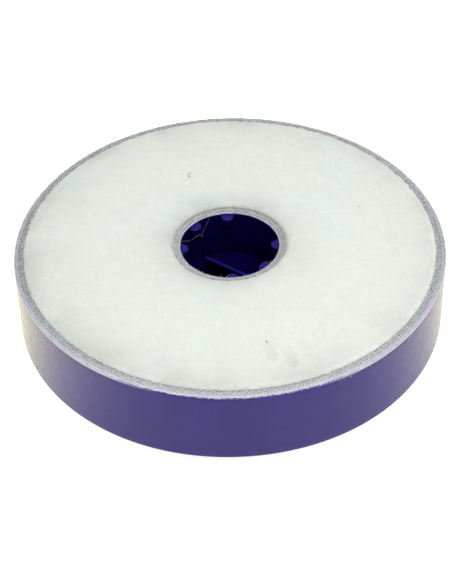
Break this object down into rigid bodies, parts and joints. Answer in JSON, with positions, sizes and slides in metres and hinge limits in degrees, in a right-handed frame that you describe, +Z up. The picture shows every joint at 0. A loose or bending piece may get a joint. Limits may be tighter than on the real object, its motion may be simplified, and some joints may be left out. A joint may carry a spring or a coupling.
{
  "type": "ring filter cartridge",
  "caption": "Washable ring-shaped air filter: a glossy moulded ring and a lugged, keyed hub hold net, fleece and foam layers under a crowned felt face.",
  "frame": {"origin": "centre of the base plane, on the hub's axis", "axes": "+Z up along the hub's axis, from the base plane to the felt face; +X is the direction the lugs' turn is counted from"},
  "size_m": [0.15, 0.15, 0.0294],
  "materials": {
    "shell_plastic": "gloss",
    "hub_plastic": "gloss",
    "key_plastic": "satin",
    "grille_plastic": "satin",
    "seal_rubber": "matte",
    "net": "matte",
    "scrim": "matte",
    "fleece": "matte",
    "felt": "matte",
    "foam": "matte",
    "weld_film": "satin",
    "glue": "satin"
  },
  "bodies": {
    "root": {"outer_shell": "shell_plastic", "hub_sleeve": "hub_plastic", "hub_key_insert": "key_plastic", "base_grille": "grille_plastic", "base_seal_ring": "seal_rubber", "hub_seal_ring": "seal_rubber", "base_net": "net", "lower_fleece": "fleece", "lower_scrim": "scrim", "foam_core": "foam", "upper_scrim": "scrim", "middle_fleece": "fleece", "upper_fleece": "fleece", "rim_weld_film": "weld_film", "hub_weld_film": "weld_film", "face_net": "net", "felt_pad": "felt", "rim_glue_bead": "glue", "hub_glue_bead": "glue", "base_rim_glue_bead": "glue", "base_hub_glue_bead": "glue"}
  },
  "joints": []
}
